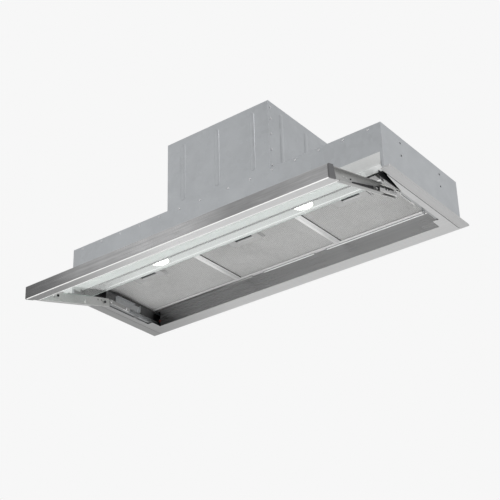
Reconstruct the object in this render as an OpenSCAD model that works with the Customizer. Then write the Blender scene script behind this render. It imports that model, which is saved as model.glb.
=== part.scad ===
// Built-in range hood for a 900 mm wall cabinet, with a pull-out glass visor.
// Millimetres. Shapes are drawn with X across, Y from the cabinet's front edge
// towards the wall, Z up from the underside of the cover plate. The finished
// frame has its origin on the wall plane, at the middle of the width and level
// with the underside of the cabinet that the hood hangs in.
// The visor is drawn in its own tilted plane: U runs from the bar towards the
// wall, V stands off the plane.

/* [Cover plate] */
// Overall width of the plate under the cabinet
plate_w = 898; // [890:1:900]
// Depth of the plate, from the cabinet's front edge to the wall
plate_d = 321; // [321:0.5:324]
// Sheet thickness of the plate
plate_t = 1.2; // [0.8:0.1:1.5]
// Thickness of the side strips, which is how far the plate hangs below the cabinet
strip_t = 4; // [3:0.5:4]
// Half width of the opening in the plate
mouth_x = 412.5; // [411:0.5:414]

/* [Visor] */
// Angle of the pulled-out visor, front edge low
tilt = 15.3; // [12:0.1:16]
// How far the carriages run back when the visor is pushed in
travel = 140; // [120:1:140]
// Half length of the front bar, with its end caps
bar_x = 406; // [404:0.5:408]
// Height of the front bar
bar_h = 30; // [26:0.5:30]
// Depth of the glass, from the wall side of the bar
glass_u = 192; // [170:1:194]
// Thickness of the glass
glass_t = 4; // [3:0.5:4]
// Height of the arms at the bar
arm_h = 27; // [24:0.5:27]
// Travel of the push buttons
button_travel = 1.5; // [1:0.1:1.8]

/* [Filters] */
// Distance from one filter's centre to the next
filter_pitch = 286.2; // [284:0.1:286.2]
// Height of the filters' underside
filter_z = 46.5; // [46.5:0.1:48]
// Thickness of the filter frames
filter_t = 9; // [8:0.5:11]
// Visible width of the frames' flanges
filter_rim = 8; // [6:0.5:10]

/* [Lamps] */
// Distance of each lamp from the middle
lamp_x = 200; // [150:1:300]
// Radius of each lamp's lens
lamp_r = 24; // [20:0.5:28]
// Height of the lamp panel's underside
lamp_z = 31; // [28:0.5:34]
// Height of the front strip's underside
front_z = 13; // [12:0.5:15]

/* [Duct and blower] */
// Outside radius of the duct spigot
duct_r = 75; // [70:0.5:75]
// Height of the duct spigot
duct_h = 45; // [35:1:60]
// Outside radius of the blower wheel
wheel_r = 64; // [55:0.5:66]
// Number of blades on the wheel
blades = 36; // [24:1:40]
// Height of the lower housing
body_z = 115; // [105:1:120]
// Height of the blower tower's top
tower_z = 300; // [300:1:320]

/* [Hidden] */
$fn = 64;

visor_y = -140;          // foot of the visor plane: U = 0, V = 0
visor_z = -77.1;
strip_x = 427.4;         // seam between the plate and its side strips
hx = 430.5;              // half width of the housing
seat_x = 431;            // inner edge of the face that the cabinet's side stands on
mouth_y = 284.2;         // rear edge of the opening
notch_x = 397.75;        // the opening narrows behind the arms
notch_y = 254.8;
pivot_u = 170;           // pivot of the visor's arms on the carriages
pivot_v = 8;
pivot_r = 3;
rail_z = 8;              // height of the carriages' guide rails
arm_x = 396;             // inner face of the arms
arm_end = 251;
glass_v = 20;            // underside of the glass
lamp_y = 53;
chan_end = 192;
blow_y = 110;            // blower shaft
blow_z = 212;
duct_y = 164;
f_front = 96.5;
f_rear = 283.6;
f_w = filter_pitch - 0.8;
flap_z = tower_z + 18;
function vy(u, v) = visor_y + u * cos(tilt) - v * sin(tilt);
function vz(u, v) = visor_z + u * sin(tilt) + v * cos(tilt);
pivot = [vy(pivot_u, pivot_v), vz(pivot_u, pivot_v)];
knee = [vy(250, pivot_v), vz(250, pivot_v)];
shoe_y = [112, 166];

// corner points of a polygon, each rounded with its own radius
function unit(v) = v / norm(v);
function corner(a, b, c, r, n = 6) =
  r <= 0 ? [b] :
  let (p = unit(a - b), q = unit(c - b), half = acos(p * q) / 2,
       d = r / tan(half), m = unit(p + q), o = b + m * (r / sin(half)),
       s = b + p * d - o, e = b + q * d - o,
       a0 = atan2(s[1], s[0]), a1 = atan2(e[1], e[0]),
       sweep = (a1 - a0 > 180) ? a1 - a0 - 360 : (a1 - a0 < -180) ? a1 - a0 + 360 : a1 - a0)
  [for (i = [0 : n]) o + r * [cos(a0 + sweep * i / n), sin(a0 + sweep * i / n)]];
function rounded(p, r) = [for (i = [0 : len(p) - 1])
  each corner(p[(i + len(p) - 1) % len(p)], p[i], p[(i + 1) % len(p)], r[i])];

module seat() translate([0, -plate_d, -strip_t]) children();
module in_visor() translate([0, visor_y, visor_z]) rotate([tilt, 0, 0]) children();
// extrude a Y-Z outline along X, from x0 to x1
module along_x(x0, x1) translate([x0, 0, 0]) rotate([90, 0, 90]) linear_extrude(x1 - x0) children();
module side(s) { if (s > 0) children(); else mirror([1, 0, 0]) children(); }
module rod_x(x0, x1, y, z, r) translate([x0, y, z]) rotate([0, 90, 0]) cylinder(r = r, h = x1 - x0);
module box(a, b) translate(a) cube(b - a);
// outline of a strip of half width r along a path of points, ends squared off r past the path
function turned(v) = [-v[1], v[0]];
function edge(p, r) = let (n = len(p) - 1)
  [for (i = [0 : n])
    let (a = turned(unit(p[min(i + 1, n)] - p[min(i, n - 1)])), b = turned(unit(p[max(i, 1)] - p[max(i - 1, 0)])),
         along = i == 0 ? -unit(p[1] - p[0]) : i == n ? unit(p[n] - p[n - 1]) : [0, 0])
    p[i] + r * (a + b) / (1 + a * b) + abs(r) * along];
function strip(p, r) = concat(edge(p, r), [for (i = [len(p) - 1 : -1 : 0]) edge(p, -r)[i]]);

// ---------- cover plate and lower casing ----------

module cover_plate() color([0.72, 0.72, 0.71]) seat() {
  w = strip_x - 1.1;
  linear_extrude(plate_t) polygon([
    [w, 26], [w, plate_d], [-w, plate_d], [-w, 26], [-w + 1.4, 28], [-mouth_x, 105],
    [-mouth_x, notch_y], [-notch_x, notch_y], [-notch_x, mouth_y],
    [notch_x, mouth_y], [notch_x, notch_y], [mouth_x, notch_y], [mouth_x, 105], [w - 1.4, 28]]);
  box([-w, plate_d - plate_t, plate_t - 0.01], [w, plate_d, 16]);
}

module side_strips() color([0.74, 0.74, 0.73]) seat()
  for (s = [-1, 1]) side(s) {
    linear_extrude(strip_t)
      polygon(rounded([[seat_x, 0], [plate_w / 2, 0], [plate_w / 2, plate_d], [seat_x, plate_d]], [0, 2, 0.8, 0]));
    linear_extrude(strip_t - 1.4)
      polygon(rounded([[strip_x, 0], [seat_x + 1, 0], [seat_x + 1, plate_d], [strip_x, plate_d]], [0.8, 0, 0, 0.8]));
  }

module rear_panel() color([0.55, 0.55, 0.55]) seat() {
  difference() {
    union() {
      box([-411.4, 285, 1.4], [411.4, 286, 45.8]);
      box([-429, 285, 40], [429, 286, 45.8]);
    }
    for (s = [-1, 1]) side(s) box([398, 284, 1.3], [414.6, 287, 40.5]);
    // room for the centre filter's tabs
    for (s = [-1, 1]) box([s * 90 - 16, 284, 44.7], [s * 90 + 16, 285.9, 46.5]);
  }
  difference() {
    box([-411.4, 285.5, 44.8], [411.4, 300, 45.8]);
    for (s = [-1, 1]) box([s * 90 - 16, 284, 44.7], [s * 90 + 16, 285.9, 46.5]);
  }
  box([-397, 285.5, 1.4], [397, 300, 2.4]);
}

module side_panel() seat() {
  difference() {
    box([mouth_x + 0.1, 106, 1.4], [mouth_x + 1.1, 317.8, 39]);
    for (y = [130, 218, 300]) rod_x(mouth_x - 1, mouth_x + 2, y, 24, 1.6);
    box([mouth_x - 1, 284.6, 37.4], [mouth_x + 2, 330, 40]);
  }
  // dark screen in front of the guide rail
  along_x(mouth_x + 0.1, mouth_x + 1.1) polygon([[29.8, 13], [52, 9], [106.2, 3], [106.2, 39], [29.8, 39]]);
  box([mouth_x + 1, 106, 38], [mouth_x + 5.5, 284.6, 39]);
  box([mouth_x + 4.6, 106, 38.9], [mouth_x + 5.6, 284.6, 46.2]);
  box([mouth_x + 5.5, 106, 45.2], [429.2, 284.6, 46.2]);
}
module side_panel_left() color([0.6, 0.6, 0.6]) side(-1) side_panel();
module side_panel_right() color([0.6, 0.6, 0.6]) side_panel();

module housing_shell() color([0.66, 0.68, 0.7]) seat() {
  difference() {
    union() {
      for (s = [-1, 1]) side(s) {
        box([hx - 1, 9.5, strip_t + 0.3], [hx, 319.6, body_z - 0.5]);
        box([hx - 5, 9.5, strip_t + 0.3], [hx - 0.5, 319.6, strip_t + 1.3]);
        box([hx - 6, 9.5, strip_t + 0.3], [hx - 0.5, 10.5, 27]);
      }
      box([-hx, 318.6, 17], [hx, 319.6, body_z]);
      box([-hx, 9.5, 26], [hx, 10.5, body_z]);
      box([-hx, 9.5, body_z - 1], [hx, 319.6, body_z]);
    }
    box([-140, 30, body_z - 2], [140, 300, body_z + 1]);
    for (y = [84, 244], z = [70, 100]) rod_x(-hx - 5, -hx + 5, y, z, 2.4);
    for (y = [84, 244], z = [70, 100]) rod_x(hx - 5, hx + 5, y, z, 2.4);
    translate([240, 130, body_z - 2]) cylinder(r = 9, h = 4);
    translate([-280, 130, body_z - 2]) cylinder(r = 6, h = 4);
  }
}

// strip behind the furniture door: hung on the casing's front wall, with a lip along its rear edge
module front_strip() color([0.85, 0.86, 0.85]) seat() {
  along_x(-424, 424) polygon(rounded(
    [[2.6, front_z], [26.8, front_z], [26.8, front_z + 1.2], [9.4, front_z + 1.2], [9.4, 46], [8.2, 46],
     [8.2, front_z + 1.2], [3.8, front_z + 1.2], [3.8, front_z + 5], [2.6, front_z + 5]],
    [0.8, 0, 0, 0.4, 0.4, 0.4, 0.4, 0.3, 0.4, 0.4]));
}
module strip_seal() color([0.06, 0.06, 0.06]) seat()
  along_x(-423.5, 423.5) polygon(rounded(
    [[26.9, front_z - 3], [29, front_z - 3], [29, front_z + 3], [24, front_z + 3], [24, front_z + 1.3], [26.9, front_z + 1.3]],
    [0.6, 0.8, 0.6, 0.4, 0.3, 0.3]));

module lamp_panel() color([0.8, 0.8, 0.8]) seat() difference() {
  box([-380, 12, lamp_z], [380, 92, 60]);
  box([-378.8, 13.2, lamp_z + 1.2], [378.8, 90.8, 61]);
  for (s = [-1, 1]) translate([s * lamp_x, lamp_y, lamp_z - 1]) cylinder(r = lamp_r + 1.2, h = 4);
}

module lamp_bezels() color([0.82, 0.82, 0.82]) seat()
  for (s = [-1, 1]) translate([s * lamp_x, lamp_y, 0]) rotate_extrude() union() {
    translate([lamp_r + 0.05, lamp_z - 0.9]) square([3.2, 0.8]);
    translate([lamp_r + 0.05, lamp_z - 0.2]) square([1, 6]);
  }

module lamp_lenses() color([1, 1, 1]) seat()
  for (s = [-1, 1]) translate([s * lamp_x, lamp_y, lamp_z - 0.6]) cylinder(r = lamp_r, h = 3);

module lamp_bodies() color([0.3, 0.3, 0.32]) seat()
  for (s = [-1, 1]) translate([s * lamp_x, lamp_y, 0]) difference() {
    union() {
      translate([0, 0, lamp_z + 2.5]) cylinder(r = lamp_r, h = 6);
      for (i = [0 : 2]) translate([0, 0, lamp_z + 8 + i * 3]) cylinder(r = lamp_r - 2 - i, h = 1.2);
      translate([0, 0, lamp_z + 8]) cylinder(r = 11, h = 10);
    }
    translate([0, 0, lamp_z + 9]) cylinder(r = 3, h = 12);
  }

// ---------- visor guides ----------

module guide_rail() seat() {
  difference() {
    union() {
      box([411.3, 104, rail_z - 5.2], [412.4, 317.6, rail_z + 5.2]);
      box([405.4, 104, rail_z + 4.1], [411.4, 317.6, rail_z + 5.2]);
      box([405.4, 104, rail_z - 5.2], [411.4, 317.6, rail_z - 4.1]);
      box([404.3, 196, rail_z - 7.6], [405.5, 210, rail_z - 4.1]);
      rod_x(404.3, 405.5, 203, rail_z - 9, 4.9);
    }
    rod_x(403, 407, 203, rail_z - 9, 2.3);
    for (y = [124, 236, 308]) rod_x(410, 414, y, rail_z, 1.7);
  }
}
module guide_rail_left() color([0.62, 0.63, 0.64]) side(-1) guide_rail();
module guide_rail_right() color([0.62, 0.63, 0.64]) guide_rail();

module rail_brackets() color([0.68, 0.68, 0.68]) seat() for (s = [-1, 1]) side(s) {
  box([411.3, 138, 18], [412.4, 224, 34]);
  box([404.6, 138, 32.9], [411.4, 200, 34]);
  box([404.6, 217.4, 16], [411.4, 218.6, 34]);
}

module visor_switch() color([0.12, 0.12, 0.13]) seat() difference() {
  box([-412.5, 296, 15], [-403, 316, 27]);
  box([-409, 294, 18], [-405, 301, 23]);
  for (y = [306, 312]) rod_x(-413, -402, y, 21, 1.1);
}
module switch_button() color([0.8, 0.2, 0.15]) seat()
  box([-408.6, 293.6, 18.4], [-405.4, 298, 22.6]);

module housing_screws() color([0.8, 0.8, 0.8]) seat() {
  for (s = [-1, 1]) side(s) {
    for (y = [124, 236, 308]) {
      rod_x(409.3, 411.3, y, rail_z, 3.2);
      rod_x(411.3, 412.4, y, rail_z, 1.6);
    }
  }
}

// ---------- blower ----------

module tower_shell() color([0.66, 0.68, 0.7]) seat() {
  difference() {
    box([-146, 22, body_z + 0.1], [146, 308, tower_z]);
    box([-145, 23, body_z - 1], [145, 307, tower_z - 1]);
    translate([0, duct_y, tower_z - 3]) cylinder(r = duct_r + 1, h = 6);
  }
  difference() {
    box([-157, 11, body_z + 0.1], [157, 318, body_z + 1.1]);
    box([-145.5, 22.5, body_z - 1], [145.5, 307.5, body_z + 3]);
  }
}

function volute(p, d) = 74 + (p - 60) / 300 * 26 - d;
module volute_2d(d) {
  polygon([for (p = [60 : 10 : 360]) [volute(p, d) * cos(p), volute(p, d) * sin(p)]]);
  translate([8 + d, 0]) square([92 - 2 * d, tower_z - 1.2 - blow_z + (d > 0 ? 2 : 0)]);
}
module scroll_housing() color([0.2, 0.21, 0.22]) seat() translate([0, blow_y, blow_z]) difference() {
  union() {
    along_x(-60, 60) volute_2d(0);
    for (x = [-54, 44], y = [-52, 30]) translate([x, y, -91]) cube([10, 16, 26]);
  }
  along_x(-58, 58) volute_2d(2);
  rod_x(-61, 61, 0, 0, 56);
}

module motor() color([0.45, 0.46, 0.48]) seat() translate([0, blow_y, blow_z]) difference() {
  union() {
    rod_x(-56, -6, 0, 0, 33);
    rod_x(-60, -56, 0, 0, 24);
  }
  rod_x(-30, 0, 0, 0, 4.06);
}
module motor_shaft() color([0.8, 0.8, 0.82]) seat() rod_x(-28, 14, blow_y, blow_z, 4);

module blade_2d() polygon(concat(
  [for (i = [0 : 4]) [51 + i * (wheel_r - 52.5) / 4, 3.2 * sin(i * 36)]],
  [for (i = [4 : -1 : 0]) [51 + i * (wheel_r - 52.5) / 4, 3.2 * sin(i * 36) - 1.1]]));
module impeller() color([0.25, 0.27, 0.3]) seat() translate([0, blow_y, blow_z]) {
  difference() {
    union() {
      rod_x(-2, 2, 0, 0, wheel_r - 1);
      rod_x(-2, 12, 0, 0, 12);
    }
    rod_x(-5, 15, 0, 0, 4);
  }
  for (s = [-1, 1]) side(s) along_x(47, 49) difference() { circle(wheel_r); circle(wheel_r - 4); }
  for (i = [0 : blades - 1]) rotate([i * 360 / blades, 0, 0]) {
    along_x(1.9, 47.1) blade_2d();
    along_x(-47.1, -1.9) blade_2d();
  }
}

module blower_cradle() color([0.7, 0.7, 0.72]) seat() {
  for (y = [58, 140]) box([-144, y, body_z + 0.1], [144, y + 16, body_z + 1.6]);
  // three-armed plate that carries the motor
  translate([0, blow_y, blow_z]) along_x(-62, -60.1) {
    circle(26);
    for (a = [90, 210, 330]) rotate(a) translate([0, -6]) square([68, 12]);
  }
}
module rubber_mounts() color([0.1, 0.1, 0.1]) seat()
  for (x = [-49, 49], y = [66, 148]) translate([x, y, body_z + 1.6]) cylinder(r = 6.5, h = 121 - body_z - 1.6);

module duct_collar() color([0.16, 0.16, 0.17]) seat() translate([0, duct_y, 0]) difference() {
  union() {
    translate([0, 0, tower_z]) cylinder(r = duct_r, h = duct_h, $fn = 128);
    translate([0, 0, tower_z]) cylinder(r = duct_r + 17, h = 2.4, $fn = 128);
  }
  translate([0, 0, tower_z - 1]) cylinder(r = duct_r - 2, h = duct_h + 2, $fn = 128);
  for (a = [45 : 90 : 315]) rotate(a) translate([duct_r + 10, 0, tower_z - 1]) cylinder(r = 2.2, h = 5);
  rod_x(-duct_r - 4, duct_r + 4, 0, flap_z, 2);
}
module flap_axle() color([0.8, 0.8, 0.82]) seat() rod_x(-duct_r + 0.3, duct_r - 0.3, duct_y, flap_z, 2);
module flap(k) seat() translate([0, duct_y, flap_z]) difference() {
  union() {
    intersection() {
      translate([0, 0, -0.6]) cylinder(r = duct_r - 4, h = 1.2, $fn = 96);
      box([-duct_r, 4, -3], [duct_r, duct_r, 3]);
    }
    for (x = k) {
      rod_x(x, x + 16, 0, 0, 3.4);
      box([x, 2.6, -0.6], [x + 16, 5, 0.6]);
    }
  }
  rod_x(-duct_r, duct_r, 0, 0, 2.08);
}
module flap_rear() color([0.3, 0.3, 0.32]) flap([-50, -8, 26]);
module flap_front() color([0.3, 0.3, 0.32]) seat() translate([0, duct_y, 0]) mirror([0, 1, 0])
  translate([0, plate_d - duct_y, strip_t]) flap([-30, 9, 44]);

// ---------- electrics on top of the housing ----------

module control_box() color([0.14, 0.14, 0.15]) seat() difference() {
  box([180, 70, body_z + 0.1], [320, 190, body_z + 38]);
  box([182, 72, body_z - 1], [318, 188, body_z + 36]);
  rod_x(310, 330, 130, body_z + 20, 9);
}
module led_driver() color([0.9, 0.9, 0.9]) seat() difference() {
  box([-340, 100, body_z + 0.1], [-230, 150, body_z + 26]);
  for (x = [-334, -236]) translate([x, 125, body_z - 1]) cylinder(r = 1.8, h = 40);
}
module cable_gland() color([0.1, 0.1, 0.1]) seat() difference() {
  union() {
    rod_x(308, 340, 130, body_z + 20, 8.9);
    rod_x(320.1, 324, 130, body_z + 20, 12);
    translate([328, 130, body_z + 20]) rotate([0, 90, 0]) cylinder(r = 12.4, h = 9, $fn = 6);
    rod_x(313, 317.9, 130, body_z + 20, 12);
  }
  rod_x(300, 350, 130, body_z + 20, 3.6);
}

// ---------- carriages ----------

module carriage() seat() difference() {
  along_x(401, 403) polygon(rounded(
    strip([pivot, knee, [shoe_y[0], rail_z], [shoe_y[1] + 6, rail_z]], 4.8),
    [4.4, 3, 3, 3, 3, 3, 3, 4.4]));
  rod_x(400, 404, pivot[0], pivot[1], pivot_r + 0.08);
  for (y = shoe_y) rod_x(400, 404, y, rail_z, 2);
}
module carriage_left() color([0.5, 0.51, 0.52]) side(-1) carriage();
module carriage_right() color([0.5, 0.51, 0.52]) carriage();
module carriage_shoes() color([0.9, 0.9, 0.88]) seat() for (s = [-1, 1], y = shoe_y) side(s) {
  along_x(403.1, 408.8) translate([y, rail_z]) polygon(rounded(
    [[-7, -3.6], [7, -3.6], [7, 3.6], [-7, 3.6]], [2, 2, 2, 2]));
  rod_x(400.9, 403.2, y, rail_z, 1.98);
  rod_x(399.6, 401, y, rail_z, 3.4);
}

// ---------- visor ----------

function bar_out(d) = [[-14.5 + d * 1.25, d], [-14.5 + bar_h / 4 + d * 0.75, bar_h - d], [10 - d, bar_h - d], [10 - d, d]];
module visor_bar() color([0.6, 0.6, 0.6]) seat() in_visor() difference() {
  along_x(-bar_x + 3, bar_x - 3) {
    difference() {
      polygon(rounded(bar_out(0), [2.6, 2, 1.2, 0]));
      polygon(rounded(bar_out(1.3), [1.4, 0.8, 0.2, 0]));
    }
    translate([9.9, 0]) square([14.1, 1.4]);
  }
  box([296, -2, bar_h - 3], [384, 7, bar_h + 2]);
}
module end_caps() color([0.62, 0.62, 0.62]) seat() in_visor() for (s = [-1, 1]) side(s) {
  along_x(bar_x - 2.9, bar_x) polygon(rounded(bar_out(0.1), [2.6, 2, 1.2, 1]));
  along_x(bar_x - 10, bar_x - 2.8) polygon(rounded(bar_out(1.6), [1.2, 0.8, 0.4, 0.4]));
}
module glass_panel() color([0.75, 0.88, 0.84, 0.45]) seat() in_visor() difference() {
  box([-394.5, 12, glass_v], [394.5, glass_u, glass_v + glass_t]);
  for (x = [-320, -160, 0, 160, 320]) translate([x, 20.5, glass_v - 1]) cylinder(r = 1.9, h = 9);
}
module glass_clamp() color([0.6, 0.6, 0.6]) seat() in_visor() difference() {
  union() {
    box([-394, 10.2, glass_v - 1.6], [394, 25.4, glass_v - 0.1]);
    box([-394, 10.2, 1.5], [394, 11.6, glass_v - 1.5]);
  }
  for (x = [-320, -160, 0, 160, 320]) translate([x, 20.5, glass_v - 3]) cylinder(r = 1.7, h = 12);
}
module glass_brackets() color([0.65, 0.65, 0.65]) seat() in_visor() for (s = [-1, 1]) side(s) {
  difference() {
    union() {
      box([384, 68, glass_v - 1.6], [395.8, 90, glass_v - 0.1]);
      box([394.4, 68, 8], [395.8, 90, glass_v - 1.5]);
    }
    rod_x(393, 397, 79, 13.6, 1.6);
  }
}

function arm_top(u) = arm_h - u * 5 / chan_end;
module arm() seat() in_visor() difference() {
  union() {
    along_x(arm_x, arm_x + 2.2) polygon([[10.4, 1.6], [24.4, 1.6], [24.4, 0], [arm_end, 0],
      [arm_end, 20], [chan_end, arm_top(chan_end)], [10.4, arm_h]]);
    along_x(arm_x + 2.1, arm_x + 9.6) polygon([[10.4, arm_h], [chan_end, arm_top(chan_end)],
      [chan_end, arm_top(chan_end) - 1.5], [10.4, arm_h - 1.5]]);
    box([arm_x + 2.1, 24.4, 0], [arm_x + 9.6, chan_end, 1.5]);
    along_x(arm_x + 2.1, arm_x + 7.1) translate([10.4, 1.6]) square([1.5, arm_h - 4]);
  }
  rod_x(390, 410, pivot_u, pivot_v, pivot_r);
  rod_x(390, 400, 79, 13.6, 1.6);
  rod_x(390, 400, 235, 10.4, 1.6);
  rod_x(390, 400, 54, 14, 2.2);
  rod_x(390, 400, 67, 14, 2.2);
  rod_x(390, 400, 214, 15.4, 2.1);
  rod_x(390, 400, 226, 15, 2.1);
}
module arm_left() color([0.66, 0.66, 0.67]) side(-1) arm();
module arm_right() color([0.66, 0.66, 0.67]) arm();
module pivot_pins() color([0.8, 0.8, 0.82]) seat() in_visor() for (s = [-1, 1]) side(s) {
  rod_x(arm_x - 0.2, 404.2, pivot_u, pivot_v, pivot_r);
  rod_x(arm_x - 1.6, arm_x - 0.1, pivot_u, pivot_v, 5);
}
module visor_screws() color([0.35, 0.35, 0.36]) seat() in_visor() {
  for (s = [-1, 1]) side(s) {
    rod_x(394.2, arm_x + 3.4, 79, 13.6, 1.55);
    rod_x(392.6, 394.3, 79, 13.6, 3.1);
    rod_x(394.4, arm_x + 3.4, 235, 10.4, 1.55);
    rod_x(394.4, arm_x - 0.1, 235, 10.4, 3.1);
  }
  for (x = [-320, -160, 0, 160, 320]) translate([x, 20.5, 0]) {
    translate([0, 0, glass_v - 1.6]) cylinder(r = 1.6, h = 1.8 + glass_t);
    translate([0, 0, glass_v + glass_t + 0.1]) cylinder(r = 3, h = 1.8);
  }
}

button_x = [306, 323, 340, 357, 374];
module button_bezel() color([0.2, 0.2, 0.21]) seat() in_visor() difference() {
  box([296.2, -1.8, bar_h - 4], [383.8, 6.8, bar_h + 0.1]);
  box([298, -0.6, bar_h - 5], [382, 5.6, bar_h - 1.2]);
  for (x = button_x) box([x - 6, -0.2, bar_h - 6], [x + 6, 5.2, bar_h + 2]);
}
module control_board() color([0.1, 0.35, 0.2]) seat() in_visor()
  box([292, -3, 13], [388, 8.6, 14.6]);
module button(i) color([0.75, 0.75, 0.75]) seat() in_visor() {
  box([button_x[i] - 5.6, 0.2, bar_h - 6], [button_x[i] + 5.6, 4.8, bar_h + 1.9]);
  translate([button_x[i], 2.5, bar_h - 9]) cylinder(r = 1.5, h = 3.1);
}
module button_off() button(0);
module button_speed_1() button(1);
module button_speed_2() button(2);
module button_speed_3() button(3);
module button_light() button(4);

// ---------- grease filters ----------

module filter_frame(cx, tabs) color([0.8, 0.8, 0.8]) seat() {
  x0 = cx - f_w / 2; x1 = cx + f_w / 2;
  z1 = filter_z + filter_t;
  difference() {
    box([x0, f_front, filter_z], [x1, f_rear, z1]);
    box([x0 + filter_rim, f_front + filter_rim, filter_z - 1], [x1 - filter_rim, f_rear - filter_rim, z1 + 1]);
    box([x0 + 1, f_front + 1, filter_z + 1], [x1 - 1, f_rear - 1, z1 - 1]);
  }
  if (tabs) for (s = [-1, 1]) box([cx + s * 90 - 15, f_rear - 1.2, filter_z - 0.5], [cx + s * 90 + 15, 293, filter_z + 0.5]);
}
module filter_frame_left() filter_frame(-filter_pitch, false);
module filter_frame_centre() filter_frame(0, true);
module filter_frame_right() filter_frame(filter_pitch, false);
module filter_mesh(cx) color([0.68, 0.68, 0.67]) seat()
  box([cx - f_w / 2 + 1.3, f_front + 1.3, filter_z + 3.6], [cx + f_w / 2 - 1.3, f_rear - 1.3, filter_z + 5.2]);
module filter_mesh_left() filter_mesh(-filter_pitch);
module filter_mesh_centre() filter_mesh(0);
module filter_mesh_right() filter_mesh(filter_pitch);
// spring latch: a shallow tray behind the front flange, with a finger slot, the lip in it and a release slit
module latch(cx) color([0.82, 0.82, 0.82]) seat() {
  difference() {
    box([cx - 52, 105, filter_z], [cx + 36, 146, filter_z + 3.2]);
    box([cx - 50.8, 104, filter_z + 1.2], [cx + 34.8, 144.8, filter_z + 4]);
    box([cx - 31, 118.5, filter_z - 1], [cx + 15, 131, filter_z + 2]);
    box([cx + 31.4, 118, filter_z - 1], [cx + 33.2, 143, filter_z + 2]);
  }
  along_x(cx - 32, cx + 16) polygon([[130.2, filter_z + 0.1], [130.2, filter_z + 1.3], [127.4, filter_z + 3.1],
    [126.4, filter_z + 2.4]]);
}
module latch_left() latch(-filter_pitch);
module latch_centre() latch(0);
module latch_right() latch(filter_pitch);

cover_plate();
side_strips();
rear_panel();
side_panel_left();
side_panel_right();
housing_shell();
front_strip();
strip_seal();
lamp_panel();
lamp_bezels();
lamp_lenses();
lamp_bodies();
guide_rail_left();
guide_rail_right();
rail_brackets();
visor_switch();
switch_button();
housing_screws();
tower_shell();
scroll_housing();
motor();
blower_cradle();
rubber_mounts();
motor_shaft();
impeller();
duct_collar();
flap_axle();
flap_front();
flap_rear();
control_box();
led_driver();
cable_gland();
carriage_left();
carriage_right();
carriage_shoes();
visor_bar();
end_caps();
glass_panel();
glass_clamp();
glass_brackets();
arm_left();
arm_right();
pivot_pins();
visor_screws();
button_bezel();
control_board();
button_off();
button_speed_1();
button_speed_2();
button_speed_3();
button_light();
filter_frame_left();
filter_frame_centre();
filter_frame_right();
filter_mesh_left();
filter_mesh_centre();
filter_mesh_right();
latch_left();
latch_centre();
latch_right();
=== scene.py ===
"""Looks of the built-in range hood. Lengths in the helpers are millimetres in the drawing's own frame
(X right, Y from the cabinet's front edge towards the wall, Z up from the underside of the cover plate)."""
import math

import bpy
import bmesh
import numpy as np
from mathutils import Vector, Matrix


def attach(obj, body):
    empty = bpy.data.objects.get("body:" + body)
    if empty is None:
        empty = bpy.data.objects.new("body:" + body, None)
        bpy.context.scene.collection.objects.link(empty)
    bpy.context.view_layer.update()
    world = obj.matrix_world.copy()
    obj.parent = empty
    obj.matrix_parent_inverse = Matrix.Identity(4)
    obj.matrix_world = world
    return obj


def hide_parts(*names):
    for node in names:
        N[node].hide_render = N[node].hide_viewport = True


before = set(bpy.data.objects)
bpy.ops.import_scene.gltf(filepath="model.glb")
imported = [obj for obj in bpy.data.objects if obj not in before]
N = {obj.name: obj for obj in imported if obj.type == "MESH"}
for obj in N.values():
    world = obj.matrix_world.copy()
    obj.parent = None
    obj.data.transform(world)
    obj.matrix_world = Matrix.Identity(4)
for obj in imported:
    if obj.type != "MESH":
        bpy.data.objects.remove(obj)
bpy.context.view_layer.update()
scene = bpy.context.scene

TILT = math.radians(15.3)
CT, ST = math.cos(TILT), math.sin(TILT)


def row(p):
    return Vector((p[0] / 1000.0, (p[1] - 321.0) / 1000.0, (p[2] - 4.0) / 1000.0))


def vis(x, u, v):
    """A point of the tilted visor plane, in the drawing's frame."""
    return (x, -140.0 + u * CT - v * ST, -77.1 + u * ST + v * CT)


# ------------------------------------------------------------------ mesh helpers

def at(origin, normal=(0, 0, 1), along=None):
    """Matrix that puts local Z on normal and local X near along, at origin."""
    z = Vector(normal).normalized()
    x = Vector(along) if along is not None else Vector((1, 0, 0))
    if abs(x.normalized().dot(z)) > 0.95:
        x = Vector((0, 1, 0))
    x = (x - z * x.dot(z)).normalized()
    y = z.cross(x)
    m = Matrix((
        (x.x, y.x, z.x, origin[0]),
        (x.y, y.y, z.y, origin[1]),
        (x.z, y.z, z.z, origin[2]),
        (0, 0, 0, 1)))
    return m


VISOR = Matrix(((1, 0, 0, 0), (0, CT, -ST, -140.0), (0, ST, CT, -77.1), (0, 0, 0, 1)))


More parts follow.
